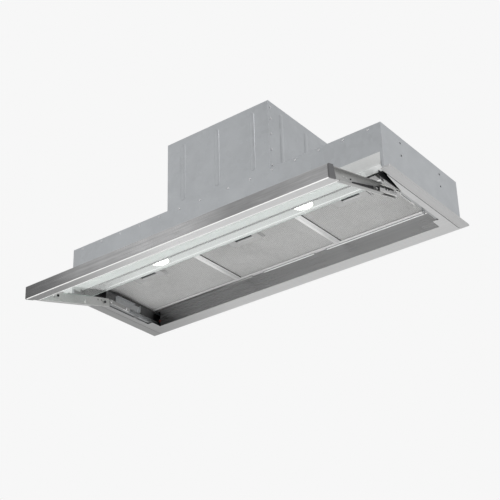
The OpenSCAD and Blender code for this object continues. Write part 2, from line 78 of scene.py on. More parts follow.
class Part:
    """Collects shapes in millimetres and becomes one piece."""

    def __init__(self):
        self.v = []
        self.f = []

    def add(self, shape, m=None):
        verts, faces = shape
        k = len(self.v)
        if m is None:
            self.v.extend(tuple(map(float, p)) for p in verts)
        else:
            a = np.array(m)
            p = np.array(verts, float) @ a[:3, :3].T + a[:3, 3]
            self.v.extend(map(tuple, p.tolist()))
        self.f.extend(tuple(i + k for i in face) for face in faces)
        return self

    def make(self, name, material, body, slot=None, replaces=(), smooth=38.0, bevel=0.0, recalc=True):
        me = bpy.data.meshes.new(name)
        p = np.array(self.v, float)
        p = (p - np.array([0.0, 321.0, 4.0])) / 1000.0
        me.from_pydata(p.tolist(), [], self.f)
        bm = bmesh.new()
        bm.from_mesh(me)
        if recalc:
            bmesh.ops.recalc_face_normals(bm, faces=bm.faces)
        lim = math.radians(smooth)
        for f in bm.faces:
            f.smooth = True
        for e in bm.edges:
            if len(e.link_faces) == 2 and e.calc_face_angle(0.0) > lim:
                e.smooth = False
        bm.to_mesh(me)
        bm.free()
        ob = bpy.data.objects.new(name, me)
        scene.collection.objects.link(ob)
        me.materials.append(material)
        if bevel > 0:
            b = ob.modifiers.new("edges", "BEVEL")
            b.width = bevel / 1000.0
            b.segments = 2
            b.limit_method = "ANGLE"
            b.angle_limit = math.radians(38)
            w = ob.modifiers.new("normals", "WEIGHTED_NORMAL")
            w.keep_sharp = False
        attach(ob, body)
        if replaces:
            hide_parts(*replaces)
        return ob


def box(a, b):
    x0, y0, z0 = a
    x1, y1, z1 = b
    v = [(x0, y0, z0), (x1, y0, z0), (x1, y1, z0), (x0, y1, z0),
         (x0, y0, z1), (x1, y0, z1), (x1, y1, z1), (x0, y1, z1)]
    f = [(0, 3, 2, 1), (4, 5, 6, 7), (0, 1, 5, 4), (1, 2, 6, 5), (2, 3, 7, 6), (3, 0, 4, 7)]
    return v, f


def prism(outline, z0, z1):
    n = len(outline)
    v = [(x, y, z0) for x, y in outline] + [(x, y, z1) for x, y in outline]
    f = [tuple(range(n - 1, -1, -1)), tuple(range(n, 2 * n))]
    f += [(i, (i + 1) % n, n + (i + 1) % n, n + i) for i in range(n)]
    return v, f


def lathe(profile, n=48):
    """Closed profile of (radius, height) points, turned about local Z."""
    v, f, k = [], [], len(profile)
    ring = []
    for r, z in profile:
        if r < 1e-6:
            ring.append([len(v)])
            v.append((0.0, 0.0, z))
        else:
            ring.append(list(range(len(v), len(v) + n)))
            v.extend((r * math.cos(2 * math.pi * i / n), r * math.sin(2 * math.pi * i / n), z) for i in range(n))
    for a in range(k):
        b = (a + 1) % k
        ra, rb = ring[a], ring[b]
        if len(ra) == 1 and len(rb) == 1:
            continue
        for i in range(n):
            j = (i + 1) % n
            if len(ra) == 1:
                f.append((ra[0], rb[j], rb[i]))
            elif len(rb) == 1:
                f.append((ra[i], ra[j], rb[0]))
            else:
                f.append((ra[i], ra[j], rb[j], rb[i]))
    return v, f


def dome(r, h, n=20, rings=5, foot=0.4):
    """Rivet or dimple head: a shallow cap with a small foot, base at z 0."""
    prof = [(0, 0), (r, 0), (r, foot * h)]
    for i in range(1, rings):
        a = math.pi / 2 * i / rings
        prof.append((r * math.cos(a), foot * h + (h - foot * h) * math.sin(a)))
    prof.append((0, h))
    return lathe(prof, n)


def disc_point(a, b):
    """Square to disc, keeping straight lines near the axes almost straight."""
    if a == 0 and b == 0:
        return 0.0, 0.0
    if abs(a) > abs(b):
        r, t = a, math.pi / 4 * b / a
    else:
        r, t = b, math.pi / 2 - math.pi / 4 * a / b
    return r * math.cos(t), r * math.sin(t)


def screw(r, h, turn=0.0, dish=0.35):
    """Pan head with a cross recess, base at z 0, outward along +Z."""
    ticks = sorted({-1.0, -0.93, -0.8, -0.62, -0.55, -0.36, -0.2, -0.15, 0.0, 0.15, 0.2, 0.36, 0.55, 0.62, 0.8, 0.93, 1.0})
    n = len(ticks)
    v, f = [], []
    c, s = math.cos(turn), math.sin(turn)
    for b in ticks:
        for a in ticks:
            x, y = disc_point(a, b)
            rr = min(1.0, math.hypot(x, y))
            z = h * (1 - dish * rr ** 3)
            if max(abs(a), abs(b)) > 0.99:
                z = h * (1 - dish) * 0.72
            deep = min(abs(a), abs(b)) <= 0.16 and max(abs(a), abs(b)) <= 0.56
            if deep:
                z -= h * 0.62
            v.append(((c * x - s * y) * r, (s * x + c * y) * r, z))
    for j in range(n - 1):
        for i in range(n - 1):
            f.append((j * n + i, j * n + i + 1, (j + 1) * n + i + 1, (j + 1) * n + i))
    rim = [i for i in range(n)] + [j * n + n - 1 for j in range(1, n)] + [(n - 1) * n + i for i in range(n - 2, -1, -1)] + [j * n for j in range(n - 2, 0, -1)]
    k = len(v)
    for i in rim:
        v.append((v[i][0], v[i][1], 0.0))
    m = len(rim)
    for i in range(m):
        j = (i + 1) % m
        f.append((rim[i], k + i, k + j, rim[j]))
    f.append(tuple(k + i for i in range(m)))
    return v, f


def ridge(length, width, height, n=20, rings=4):
    """A pressed bead: long, with round ends and a domed section, lying along local X."""
    v, f = [], []
    half = max(0.0, length / 2 - width / 2)
    ringsv = []
    for q in range(rings + 1):
        a = math.pi / 2 * q / rings
        r, z = width / 2 * math.cos(a), height * math.sin(a)
        ids = []
        for i in range(n):
            t = 2 * math.pi * i / n + math.pi / n
            x, y = r * math.cos(t), r * math.sin(t)
            x += half if math.cos(t) > 0 else -half
            ids.append(len(v))
            v.append((x, y, z))
        ringsv.append(ids)
    for a, b in zip(ringsv, ringsv[1:]):
        for i in range(n):
            j = (i + 1) % n
            f.append((a[i], a[j], b[j], b[i]))
    f.append(tuple(reversed(ringsv[0])))
    f.append(tuple(ringsv[-1]))
    return v, f


def sweep_rect(profile, x0, x1, y0, y1):
    """Closed profile of (inset, z) points carried round a rectangle, mitred at its corners."""
    v, f, n = [], [], len(profile)
    for cx, cy, sx, sy in ((x0, y0, 1, 1), (x1, y0, -1, 1), (x1, y1, -1, -1), (x0, y1, 1, -1)):
        v.extend((cx + sx * d, cy + sy * d, z) for d, z in profile)
    for c in range(4):
        e = (c + 1) % 4
        for i in range(n):
            j = (i + 1) % n
            f.append((c * n + i, e * n + i, e * n + j, c * n + j))
    return v, f


def rounded(points, radii, n=5):
    """Outline with each corner rounded by its own radius."""
    out = []
    k = len(points)
    for i in range(k):
        a, b, c = (np.array(points[j % k], float) for j in (i - 1, i, i + 1))
        r = radii[i] if hasattr(radii, "__len__") else radii
        if r <= 0:
            out.append(tuple(b))
            continue
        p, q = (a - b) / np.linalg.norm(a - b), (c - b) / np.linalg.norm(c - b)
        half = math.acos(max(-1, min(1, float(p @ q)))) / 2
        d = r / math.tan(half)
        s, e = b + p * d, b + q * d
        m = (p + q) / np.linalg.norm(p + q)
        o = b + m * r / math.sin(half)
        a0, a1 = math.atan2(*(s - o)[::-1]), math.atan2(*(e - o)[::-1])
        sweep = (a1 - a0 + math.pi) % (2 * math.pi) - math.pi
        out.extend((o[0] + r * math.cos(a0 + sweep * t / n), o[1] + r * math.sin(a0 + sweep * t / n)) for t in range(n + 1))
    return out


# ------------------------------------------------------------------ materials

class Mat:
    """A small wrapper for building procedural materials."""

    def __init__(self, name):
        self.m = bpy.data.materials.new(name)
        self.m.use_nodes = True
        self.t = self.m.node_tree
        self.t.nodes.clear()
        self.out = self.t.nodes.new("ShaderNodeOutputMaterial")
        self.b = self.t.nodes.new("ShaderNodeBsdfPrincipled")
        self.link(self.b.outputs[0], self.out.inputs[0])
        self.co = self.t.nodes.new("ShaderNodeTexCoord").outputs["Object"]

    def link(self, a, b):
        self.t.links.new(a, b)

    def set(self, **kw):
        for k, val in kw.items():
            self.b.inputs[k.replace("_", " ")].default_value = val

    def mapped(self, scale, rot=(0, 0, 0), vec=None):
        n = self.t.nodes.new("ShaderNodeMapping")
        n.inputs["Scale"].default_value = scale
        n.inputs["Rotation"].default_value = rot
        self.link(vec if vec is not None else self.co, n.inputs["Vector"])
        return n.outputs[0]

    def in_visor(self):
        """Own coordinates of the tilted visor, in metres: across, back from the bar's foot, off the plane."""
        n = self.t.nodes.new("ShaderNodeMapping")
        n.vector_type = "TEXTURE"
        n.inputs["Location"].default_value = (0.0, -0.461, -0.0811)
        n.inputs["Rotation"].default_value = (TILT, 0.0, 0.0)
        self.link(self.co, n.inputs["Vector"])
        return n.outputs[0]

    def axes(self, vec=None):
        n = self.t.nodes.new("ShaderNodeSeparateXYZ")
        self.link(vec if vec is not None else self.co, n.inputs[0])
        return n.outputs

    def painted_light_across(self, stops, half=0.45):
        """Painted light and shade: a slow change of tone across the width, standing in for how the light falls along
        the sheet.
        """
        x = self.span(self.axes()[0], 0.0, 1.0, -half, half, False)
        return self.ramp(x, [(p, (k, k, k)) for p, k in stops])

    def noise(self, scale=1.0, detail=3.0, rough=0.55, vec=None, distortion=0.0):
        n = self.t.nodes.new("ShaderNodeTexNoise")
        n.inputs["Scale"].default_value = scale
        n.inputs["Detail"].default_value = detail
        n.inputs["Roughness"].default_value = rough
        n.inputs["Distortion"].default_value = distortion
        self.link(vec if vec is not None else self.co, n.inputs["Vector"])
        return n.outputs[0]

    def voronoi(self, scale, feature="F1", out=0, vec=None, rand=1.0):
        n = self.t.nodes.new("ShaderNodeTexVoronoi")
        n.feature = feature
        n.inputs["Scale"].default_value = scale
        n.inputs["Randomness"].default_value = rand
        self.link(vec if vec is not None else self.co, n.inputs["Vector"])
        return n.outputs[out]

    def span(self, val, lo, hi, a=0.3, b=0.7, smooth=True):
        n = self.t.nodes.new("ShaderNodeMapRange")
        if smooth:
            n.interpolation_type = "SMOOTHSTEP"
        n.inputs["From Min"].default_value = a
        n.inputs["From Max"].default_value = b
        n.inputs["To Min"].default_value = lo
        n.inputs["To Max"].default_value = hi
        self.link(val, n.inputs["Value"])
        return n.outputs[0]

    def ramp(self, val, stops):
        n = self.t.nodes.new("ShaderNodeValToRGB")
        el = n.color_ramp.elements
        while len(el) < len(stops):
            el.new(0.5)
        for e, (p, c) in zip(el, stops):
            e.position = p
            e.color = (c[0], c[1], c[2], 1.0)
        self.link(val, n.inputs[0])
        return n.outputs[0]

    def math(self, op, a, b=0.0):
        n = self.t.nodes.new("ShaderNodeMath")
        n.operation = op
        for i, x in enumerate((a, b)):
            if isinstance(x, (int, float)):
                n.inputs[i].default_value = x
            else:
                self.link(x, n.inputs[i])
        return n.outputs[0]

    def mix(self, fac, a, b, kind="MIX"):
        n = self.t.nodes.new("ShaderNodeMix")
        n.data_type = "RGBA"
        n.blend_type = kind
        if isinstance(fac, (int, float)):
            n.inputs[0].default_value = fac
        else:
            self.link(fac, n.inputs[0])
        for i, x in ((6, a), (7, b)):
            if isinstance(x, tuple):
                n.inputs[i].default_value = (x[0], x[1], x[2], 1.0)
            else:
                self.link(x, n.inputs[i])
        return n.outputs[2]

    def bump(self, height, strength=0.1, distance=0.0003, normal=None):
        n = self.t.nodes.new("ShaderNodeBump")
        n.inputs["Strength"].default_value = strength
        n.inputs["Distance"].default_value = distance
        self.link(height, n.inputs["Height"])
        if normal is not None:
            self.link(normal, n.inputs["Normal"])
        return n.outputs[0]


def tone(c, k):
    return tuple(min(1.0, x * k) for x in c)


def brushed(name, base, rough, grain=(2.5, 760, 760), streak=0.07, bump=0.05, metallic=1.0, smudge=0.05,
            painted_light_tones=None, visor=False, where=None):
    m = Mat(name)
    vec = m.in_visor() if visor else None
    fine = m.noise(1.0, 2.0, 0.6, m.mapped(grain, vec=vec))
    broad = m.noise(1.0, 3.0, 0.55, m.mapped(tuple(g * 0.16 if g > 50 else g * 0.5 for g in grain), vec=vec))
    cloud = m.noise(5.5, 3.0, 0.5)
    col = m.ramp(broad, [(0.25, tone(base, 1 - streak)), (0.75, tone(base, 1 + streak))])
    col = m.mix(m.span(fine, 0.0, 0.55), col, tone(base, 1 - streak * 1.6))
    # painted light and shade: the colour is multiplied by a tone ramp across the width
    if painted_light_tones:
        col = m.mix(1.0, col, m.painted_light_across(painted_light_tones), "MULTIPLY")
    r = m.math("ADD", m.span(fine, rough - 0.05, rough + 0.05), m.span(cloud, -smudge / 2, smudge / 2, 0.35, 0.65))
    met = metallic
    if visor:
        # painted light: the flange underneath is painted paler, with painted shade across its width, and its two long
        # edges are painted near white and less metallic as painted highlights
        ax = m.axes(vec)
        mott = m.noise(1.0, 3.0, 0.6, m.mapped((26, 150, 150), vec=vec))
        col = m.mix(1.0, col, m.ramp(mott, [(0.3, (0.90, 0.90, 0.90)), (0.7, (1.08, 1.08, 1.08))]), "MULTIPLY")
        flange_painted_light = m.math("MULTIPLY", m.span(ax[1], 0.0, 1.0, -0.0112, -0.0104), m.span(ax[2], 1.0, 0.0, 0.0015, 0.0019))
        col = m.mix(flange_painted_light, col, m.mix(1.0, (0.86, 0.86, 0.86), m.painted_light_across([(0.03, 0.22), (0.14, 0.28), (0.28, 0.58), (0.5, 1.0), (0.9, 0.84)]), "MULTIPLY"))
        front = m.math("MULTIPLY", m.span(ax[1], 1.0, 0.0, -0.0119, -0.0109), m.span(ax[2], 1.0, 0.0, 0.0010, 0.0022))
        hem_painted_highlight = m.math("MULTIPLY", m.span(ax[1], 0.0, 1.0, 0.0208, 0.0214), m.span(ax[2], 1.0, 0.0, 0.0015, 0.0019))
        edge = m.math("MAXIMUM", front, hem_painted_highlight)
        col = m.mix(edge, col, m.mix(hem_painted_highlight, (0.97, 0.97, 0.96), (1.0, 1.0, 1.0)))
        m.link(m.math("SUBTRACT", metallic, m.math("MULTIPLY", edge, 0.75)), m.b.inputs["Metallic"])
    else:
        m.set(Metallic=met)
    if where:
        col = where(m, col)
    m.link(col, m.b.inputs["Base Color"])
    m.link(r, m.b.inputs["Roughness"])
    m.link(m.bump(fine, bump, 0.0002), m.b.inputs["Normal"])
    return m.m


def galvanised(name, base, rough=0.42, scale=85.0, amount=0.06):
    m = Mat(name)
    warp = m.noise(30.0, 2.0, 0.5)
    cells = m.voronoi(scale, out=1)
    fine = m.noise(420.0, 3.0, 0.6)
    cloud = m.noise(6.0, 4.0, 0.6)
    grey = m.t.nodes.new("ShaderNodeRGBToBW")
    m.link(cells, grey.inputs[0])
    g = grey.outputs[0]
    mixd = m.math("ADD", m.span(g, 0.0, 0.6, 0.1, 0.9, False), m.span(cloud, 0.0, 0.4, 0.3, 0.7))
    m.link(m.ramp(mixd, [(0.05, tone(base, 1 - amount * 1.3)), (0.5, base), (0.95, tone(base, 1 + amount))]), m.b.inputs["Base Color"])
    m.link(m.math("ADD", m.span(g, rough - 0.05, rough + 0.07, 0.1, 0.9, False), m.span(warp, -0.03, 0.03)), m.b.inputs["Roughness"])
    m.link(m.bump(fine, 0.05, 0.0002), m.b.inputs["Normal"])
    m.set(Metallic=1.0)
    return m.m


def satin(name, base, rough, metallic=1.0, spots=160.0, amount=0.045, bump=0.04, bump_scale=1100.0, coat=0.0, where=None, metal=None):
    """Plated, anodised or painted sheet: fine grain, faint clouds and a soft sheen."""
    m = Mat(name)
    fine = m.noise(bump_scale, 2.0, 0.55)
    mid = m.noise(spots, 3.0, 0.6)
    cloud = m.noise(9.0, 4.0, 0.55, distortion=0.4)
    both = m.math("ADD", m.span(mid, 0.0, 0.5), m.span(cloud, 0.0, 0.5, 0.3, 0.7))
    col = m.ramp(both, [(0.1, tone(base, 1 - amount * 1.5)), (0.5, base), (0.9, tone(base, 1 + amount))])
    if where:
        col = where(m, col)
    m.link(col, m.b.inputs["Base Color"])
    m.link(m.math("ADD", m.span(mid, rough - 0.05, rough + 0.05), m.span(cloud, -0.03, 0.04)), m.b.inputs["Roughness"])
    m.link(m.bump(fine, bump, 0.0002), m.b.inputs["Normal"])
    m.set(Metallic=metallic)
    if metal:
        m.link(metal(m, metallic), m.b.inputs["Metallic"])
    if coat:
        m.set(Coat_Weight=coat, Coat_Roughness=0.25)
    return m.m


def panel_painted_light(m, col):
    """Painted highlight: a paler line near the rear edge of the lamp panel; painted shade: the panel's ends are
    darker.
    """
    ax = m.axes()
    rear = m.math("MULTIPLY", m.span(ax[1], 0.0, 1.0, -0.2428, -0.2420), m.span(ax[1], 1.0, 0.0, -0.2386, -0.2378))
    col = m.mix(1.0, col, m.painted_light_across([(0.07, 0.28), (0.13, 0.62), (0.19, 1.0), (0.6, 1.0), (0.8, 0.74), (1.0, 0.64)]), "MULTIPLY")
    return m.mix(rear, col, (0.86, 0.865, 0.86))


def arm_painted_shade(m, col):
    """Painted shade: the channel of each arm is darkened to 0.66 of its colour, so the flat web reads brighter than
    the channel.
    """
    ax = m.axes()
    out = m.span(m.math("ABSOLUTE", ax[0]), 0.0, 1.0, 0.3972, 0.3978)
    return m.mix(out, col, m.mix(1.0, col, (0.66, 0.66, 0.66), "MULTIPLY"))


def link_painted_shade(m, col):
    """Painted shade: the inner side of each link is darkened to 0.42 of the outer side's colour, and its foot at the
    pivot is painted black as a painted shadow.
    """
    ax = m.axes()
    foot = m.math("MULTIPLY", m.span(ax[1], 1.0, 0.0, -0.2880, -0.2865), m.span(m.math("ABSOLUTE", ax[0]), 0.0, 1.0, 0.4024, 0.4028))
    col = m.mix(foot, col, (0.02, 0.02, 0.021))
    inner = m.span(m.math("ABSOLUTE", ax[0]), 1.0, 0.0, 0.4016, 0.4024)
    return m.mix(inner, col, m.mix(1.0, col, (0.42, 0.42, 0.42), "MULTIPLY"))


def dull_rear(m, metallic):
    """The rear bar of each filter frame, next to the dark wall, is a little duller."""
    return m.span(m.axes()[1], metallic, metallic - 0.12, -0.0458, -0.0452)


# Painted reflection: the pale recess lip is darkened towards the left end, down to 0.08, where the reflected light
# along the rear edge falls away.
def lip_painted_reflection(m, col):
    return m.mix(1.0, col, m.painted_light_across([(0.0, 0.08), (0.26, 0.12), (0.36, 0.5), (0.46, 1.0), (1.0, 1.0)]), "MULTIPLY")


def front_painted_shadow(m, col):
    """Painted shadow: the screen ahead of the guide rail is painted near black, where shade falls; the rest of the
    wall is left as it is.
    """
    ax = m.axes()
    a = m.math("MULTIPLY", m.span(ax[1], 1.0, 0.0, -0.2165, -0.2155), m.span(m.math("ABSOLUTE", ax[0]), 0.0, 1.0, 0.4118, 0.4122))
    return m.mix(a, col, (0.012, 0.012, 0.013))


def plastic(name, base, rough=0.45, grain=1500.0, bump=0.12, amount=0.12):
    m = Mat(name)
    pebble = m.voronoi(grain, feature="SMOOTH_F1")
    cloud = m.noise(14.0, 4.0, 0.6)
    fine = m.noise(500.0, 2.0, 0.5)
    m.link(m.ramp(m.math("ADD", m.span(cloud, 0.0, 0.6), m.span(fine, 0.0, 0.4)),
                  [(0.1, tone(base, 1 - amount)), (0.9, tone(base, 1 + amount))]), m.b.inputs["Base Color"])
    m.link(m.span(cloud, rough - 0.06, rough + 0.07), m.b.inputs["Roughness"])
    m.link(m.bump(pebble, bump, 0.0002), m.b.inputs["Normal"])
    m.set(Metallic=0.0)
    return m.m


def glass(name):
    m = Mat(name)
    lw = m.t.nodes.new("ShaderNodeLayerWeight")
    lw.inputs["Blend"].default_value = 0.35
    haze = m.noise(7.0, 4.0, 0.6)
    wipe = m.noise(1.0, 3.0, 0.6, m.mapped((6, 60, 60)))
    col = m.mix(lw.outputs["Facing"], (0.975, 0.995, 0.985), (0.86, 0.955, 0.915))
    col = m.mix(m.span(haze, 0.0, 0.25, 0.45, 0.75), col, (0.93, 0.97, 0.95))
    # the edges are ground: pale, slightly green and nearly opaque
    ax = m.axes(m.in_visor())
    ground = m.math("MAXIMUM", m.span(ax[1], 0.0, 1.0, 0.1912, 0.1917), m.span(m.math("ABSOLUTE", ax[0]), 0.0, 1.0, 0.3940, 0.3943))
    col = m.mix(ground, col, (0.80, 0.90, 0.86))
    m.link(col, m.b.inputs["Base Color"])
    rough = m.math("ADD", m.span(haze, 0.0, 0.02), m.span(wipe, 0.0, 0.02))
    m.link(m.math("ADD", rough, m.math("MULTIPLY", ground, 0.4)), m.b.inputs["Roughness"])
    m.link(m.span(ground, 1.0, 0.25, 0.0, 1.0, False), m.b.inputs["Transmission Weight"])
    m.set(Metallic=0.0, IOR=1.5)
    return m.m


def lens_lit(name):
    m = Mat(name)
    cells = m.voronoi(320.0, feature="SMOOTH_F1")
    soft = m.noise(40.0, 2.0, 0.5)
    m.link(m.ramp(soft, [(0.2, (0.93, 0.93, 0.90)), (0.8, (1.0, 0.99, 0.97))]), m.b.inputs["Base Color"])
    m.link(m.ramp(cells, [(0.0, (1.0, 0.985, 0.95)), (1.0, (0.94, 0.93, 0.90))]), m.b.inputs["Emission Color"])
    m.link(m.bump(cells, 0.25, 0.0004), m.b.inputs["Normal"])
    m.set(Roughness=0.35, Emission_Strength=3.2)
    return m.m


def mesh_backing(name, base):
    """The deeper layers of expanded metal behind the front one, seen as a small lattice."""
    m = Mat(name)
    vec = m.mapped((1.0, 1.85, 1.0), (0, 0, 0))
    a = m.voronoi(215.0, feature="DISTANCE_TO_EDGE", vec=vec, rand=0.25)
    b = m.voronoi(330.0, feature="DISTANCE_TO_EDGE", vec=m.mapped((1.0, 1.6, 1.0), (0, 0, 0.5)), rand=0.4)
    cloud = m.noise(11.0, 4.0, 0.6)
    la = m.span(a, 1.0, 0.0, 0.02, 0.16)
    lb = m.span(b, 0.75, 0.0, 0.02, 0.2)
    w = m.math("MAXIMUM", la, lb)
    w2 = m.math("MULTIPLY", w, m.span(cloud, 0.86, 1.0))
    m.link(m.ramp(w2, [(0.0, tone(base, 0.55)), (0.5, tone(base, 0.82)), (1.0, base)]), m.b.inputs["Base Color"])
    m.link(m.span(cloud, 0.4, 0.55), m.b.inputs["Roughness"])
    m.link(m.bump(w, 0.5, 0.0008), m.b.inputs["Normal"])
    m.set(Metallic=0.45)
    return m.m


# Painted light and shade on the bar: its tones darken the left end to 0.28 and dip again at 0.70 of the width,
# brightest near the middle.
M_BAR = brushed("brushed_bar", (0.60, 0.60, 0.605), 0.32, streak=0.11, bump=0.06, visor=True,
                painted_light_tones=[(0.03, 0.28), (0.14, 0.40), (0.24, 0.70), (0.42, 0.88), (0.56, 0.90), (0.70, 0.58), (0.80, 0.66), (0.90, 0.84)])
# Painted shade: the cover plate and side strips are darkened towards the left end, to about half their colour.
M_PLATE = brushed("brushed_plate", (0.76, 0.762, 0.765), 0.36, grain=(2.5, 620, 620), streak=0.05, metallic=0.85,
                  painted_light_tones=[(0.0, 0.52), (0.3, 0.94), (1.0, 0.97)])
M_SIDE = brushed("brushed_side", (0.76, 0.762, 0.765), 0.36, grain=(620, 2.5, 620), streak=0.05, metallic=0.85,
                 painted_light_tones=[(0.0, 0.50), (0.3, 0.90), (1.0, 0.83)])
M_RING = brushed("turned_ring", (0.62, 0.62, 0.61), 0.24, grain=(500, 500, 500), streak=0.04)
M_PANEL = satin("satin_panel", (0.54, 0.54, 0.54), 0.36, metallic=0.25, spots=240, amount=0.03, bump=0.05, coat=0.2, where=panel_painted_light)
M_STRIP = satin("white_strip", (0.80, 0.81, 0.805), 0.33, metallic=0.0, spots=240, amount=0.02, bump=0.05, coat=0.3)
M_GALV = galvanised("galvanised", (0.58, 0.60, 0.62))
# Painted shade: the recess sheet is darkened towards the left end, to half its colour, and its screen ahead of the
# guide rail is painted black.
M_WALL = brushed("recess_sheet", (0.30, 0.302, 0.305), 0.30, grain=(2.5, 520, 520), streak=0.06,
                 painted_light_tones=[(0.0, 0.5), (0.2, 0.82), (0.55, 1.0), (1.0, 1.05)], where=front_painted_shadow)
M_PLATED = satin("plated", (0.55, 0.56, 0.57), 0.34, spots=210, amount=0.07, bump=0.06)
M_ARM = satin("plated_arm", (0.76, 0.765, 0.755), 0.36, spots=260, amount=0.07, bump=0.06, where=arm_painted_shade)
# Painted light: the links get a lighter copy of the plated finish (0.96 against 0.55), brightened because they sit in
# shade; their inner sides and foot carry painted shade.
M_LINK_PAINTED_LIGHT = satin("plated_link", (0.96, 0.96, 0.955), 0.40, metallic=0.55, where=link_painted_shade, spots=260, amount=0.07, bump=0.06)
M_ALU = satin("satin_aluminium", (0.88, 0.88, 0.88), 0.36, metallic=0.6, spots=180, amount=0.04, metal=dull_rear)
# The recess lip's tone carries a painted reflection that fades towards the left end.
M_LIP = satin("recess_lip", (0.96, 0.96, 0.955), 0.40, metallic=0.0, spots=240, amount=0.03, where=lip_painted_reflection)
M_TRAY = satin("latch_tray", (0.50, 0.50, 0.50), 0.42, metallic=0.6, spots=120, amount=0.05)
M_MESH = satin("expanded_aluminium", (0.80, 0.80, 0.795), 0.42, metallic=0.6, spots=75, amount=0.07, bump=0.08)
M_BACK = mesh_backing("mesh_layers", (0.74, 0.74, 0.735))
M_GLASS = glass("float_glass")
M_LENS = lens_lit("lamp_lens")
M_BLACK = plastic("black_plastic", (0.022, 0.022, 0.024), 0.42)
M_GREY = plastic("grey_plastic", (0.13, 0.135, 0.145), 0.45)
M_WHITE = plastic("white_plastic", (0.72, 0.72, 0.70), 0.42, amount=0.04)
M_CAP = satin("painted_cap", (0.16, 0.16, 0.165), 0.38, metallic=0.6, spots=300, amount=0.06, bump=0.08)
M_KEY = satin("button_face", (0.48, 0.48, 0.48), 0.34, metallic=0.8, spots=300, amount=0.05)
M_RED = plastic("red_plastic", (0.42, 0.03, 0.022), 0.4, amount=0.1)
M_RUBBER = plastic("rubber", (0.014, 0.014, 0.014), 0.72, grain=900, bump=0.2, amount=0.25)
M_BOARD = plastic("board", (0.02, 0.12, 0.05), 0.4, amount=0.2)
M_BOLT = satin("black_zinc", (0.035, 0.035, 0.038), 0.36, metallic=0.7, spots=420, amount=0.1)
M_STEEL = satin("bright_steel", (0.74, 0.74, 0.75), 0.22, spots=420, amount=0.05)
M_MOTOR = satin("motor_shell", (0.30, 0.31, 0.32), 0.42, spots=120, amount=0.07)
M_LAMPBODY = satin("lamp_body", (0.22, 0.22, 0.23), 0.45, metallic=0.9, spots=200)

# ------------------------------------------------------------------ carried-over CAD nodes

CAD = {
    "cover_plate": (M_PLATE, 0.2), "side_strips": (M_SIDE, 0.35), "rear_panel": (M_WALL, 0.2),
    "side_panel_left": (M_WALL, 0.2), "side_panel_right": (M_WALL, 0.2), "housing_shell": (M_GALV, 0.3),
    # strip_seal is dressed in black rubber as a painted shadow: it stands in for the dark gap behind the front strip.
    "front_strip": (M_STRIP, 0.2), "strip_seal": (M_RUBBER, 0.15), "lamp_panel": (M_PANEL, 0.5),
    "lamp_bodies": (M_LAMPBODY, 0.3), "guide_rail_left": (M_PLATED, 0.2), "guide_rail_right": (M_PLATED, 0.2),
    "rail_brackets": (M_PLATED, 0.2), "visor_switch": (M_BLACK, 0.4), "switch_button": (M_RED, 0.3),
    "tower_shell": (M_GALV, 0.5), "scroll_housing": (M_BLACK, 0.5), "motor": (M_MOTOR, 1.0),
    "blower_cradle": (M_GALV, 0.3), "rubber_mounts": (M_RUBBER, 0.4), "motor_shaft": (M_STEEL, 0.3),
    "impeller": (M_GREY, 0.0), "duct_collar": (M_BLACK, 0.5), "flap_axle": (M_STEEL, 0.2),
    "flap_front": (M_GREY, 0.3), "flap_rear": (M_GREY, 0.3), "control_box": (M_BLACK, 1.2),
    "led_driver": (M_WHITE, 1.0), "cable_gland": (M_BLACK, 0.4),
    "carriage_left": (M_LINK_PAINTED_LIGHT, 0.25), "carriage_right": (M_LINK_PAINTED_LIGHT, 0.25),
    "visor_bar": (M_BAR, 0.15), "end_caps": (M_CAP, 0.25), "glass_panel": (M_GLASS, 0.5),
    "glass_clamp": (M_PANEL, 0.25), "glass_brackets": (M_ARM, 0.25), "arm_left": (M_ARM, 0.25),
    "arm_right": (M_ARM, 0.25), "button_bezel": (M_BLACK, 0.2), "control_board": (M_BOARD, 0.2),
    "button_off": (M_KEY, 0.4), "button_speed_1": (M_KEY, 0.4), "button_speed_2": (M_KEY, 0.4),
    "button_speed_3": (M_KEY, 0.4), "button_light": (M_KEY, 0.4),
    "filter_mesh_left": (M_BACK, 0.0), "filter_mesh_centre": (M_BACK, 0.0), "filter_mesh_right": (M_BACK, 0.0),
    "latch_left": (M_TRAY, 0.2), "latch_centre": (M_TRAY, 0.2), "latch_right": (M_TRAY, 0.2),
}


def dress(name, material, width):
    ob = N[name]
    me = ob.data
    me.materials.clear()
    me.materials.append(material)
    if "custom_normal" in me.attributes:
        me.attributes.remove(me.attributes["custom_normal"])
    me.polygons.foreach_set("use_smooth", [True] * len(me.polygons))
    w = ob.modifiers.new("weld", "WELD")
    w.merge_threshold = 0.00002
    d = ob.modifiers.new("flats", "DECIMATE")
    d.decimate_type = "DISSOLVE"
    d.angle_limit = math.radians(0.6)
    if width > 0:
        b = ob.modifiers.new("edges", "BEVEL")
        b.width = width / 1000.0
        b.segments = 2
        b.limit_method = "ANGLE"
        b.angle_limit = math.radians(32)
        b.use_clamp_overlap = True
    n = ob.modifiers.new("normals", "WEIGHTED_NORMAL")
    n.weight = 60
    n.keep_sharp = True


for node, (material, width) in CAD.items():
    if node in N:
        dress(node, material, width)

# ------------------------------------------------------------------ lamps

